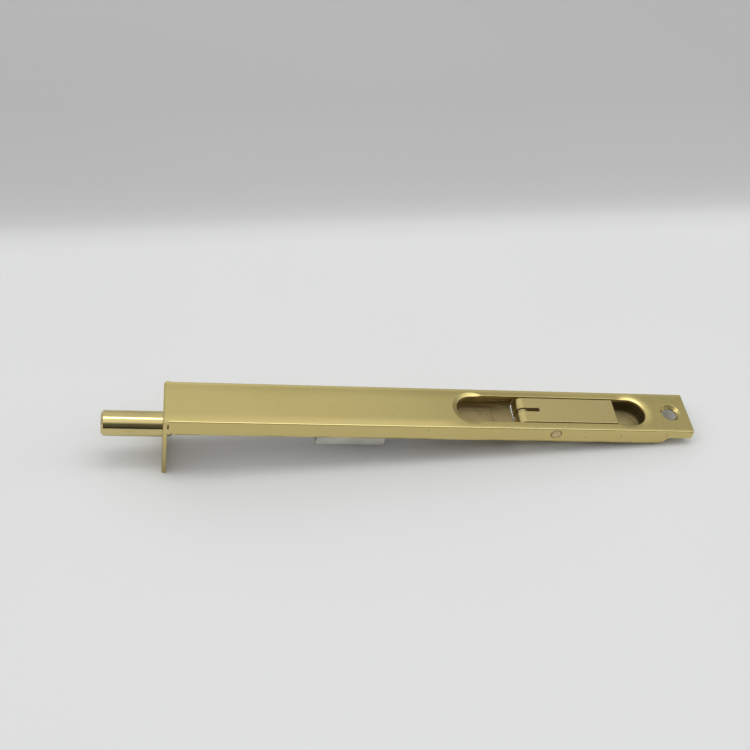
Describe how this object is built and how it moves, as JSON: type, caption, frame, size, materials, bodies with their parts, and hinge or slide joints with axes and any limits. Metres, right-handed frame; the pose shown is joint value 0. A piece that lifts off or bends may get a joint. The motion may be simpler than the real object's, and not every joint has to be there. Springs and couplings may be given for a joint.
{
  "type": "lever flush bolt",
  "caption": "Flush bolt for a door edge: a flip lever in a narrow face plate draws a round bolt through the end plate by a link and rod.",
  "frame": {"origin": "on the bolt's axis, at the outer face of the end plate", "axes": "+X along the face plate from the end plate towards the face screw hole; +Z is the face plate's outward normal; the bolt's nose points along -X"},
  "size_m": [0.225, 0.0194, 0.0296],
  "materials": {
    "case_brass": "satin, brushed along its length",
    "tray_brass": "dull satin, drawn sheet",
    "lever_brass": "satin, brushed",
    "link_brass": "satin",
    "bolt_bronze": "semi-polished, turned",
    "pivot_bronze": "riveted flush",
    "zinc_steel": "zinc plated",
    "spring_steel": "bright spring strip",
    "rod_steel": "drawn bar",
    "pin_steel": "ground"
  },
  "bodies": {
    "case": {"face_channel": "case_brass", "left_finger_tray": "tray_brass", "right_finger_tray": "tray_brass", "pivot_pin": "pivot_bronze", "guide_saddle": "zinc_steel", "friction_spring": "spring_steel"},
    "lever": {"lever": "lever_brass", "crank_pin": "pin_steel"},
    "link": {"link": "link_brass"},
    "bolt": {"bolt_rod": "bolt_bronze", "connecting_rod": "rod_steel", "link_pin": "pin_steel"}
  },
  "joints": [
    {"name": "lever_turn", "type": "hinge", "parent": "case", "child": "lever", "pos_m": [0.147, 0, 0.0097], "axis": [0, -1, 0], "range_deg": [0, 180]},
    {"name": "link_pivot", "type": "hinge", "parent": "lever", "child": "link", "pos_m": [0.13565, 0, 0.0097], "axis": [0, -1, 0], "range_deg": [-180, 0]},
    {"name": "bolt_slide", "type": "slide", "parent": "case", "child": "bolt", "axis": [1, 0, 0], "range_m": [0, 0.0227]}
  ],
  "couplings": [
    {"joint": "link_pivot", "follows": "lever_turn", "ratio": -1},
    {"joint": "bolt_slide", "follows": "lever_turn", "m_per_rad": 0.0072256}
  ]
}
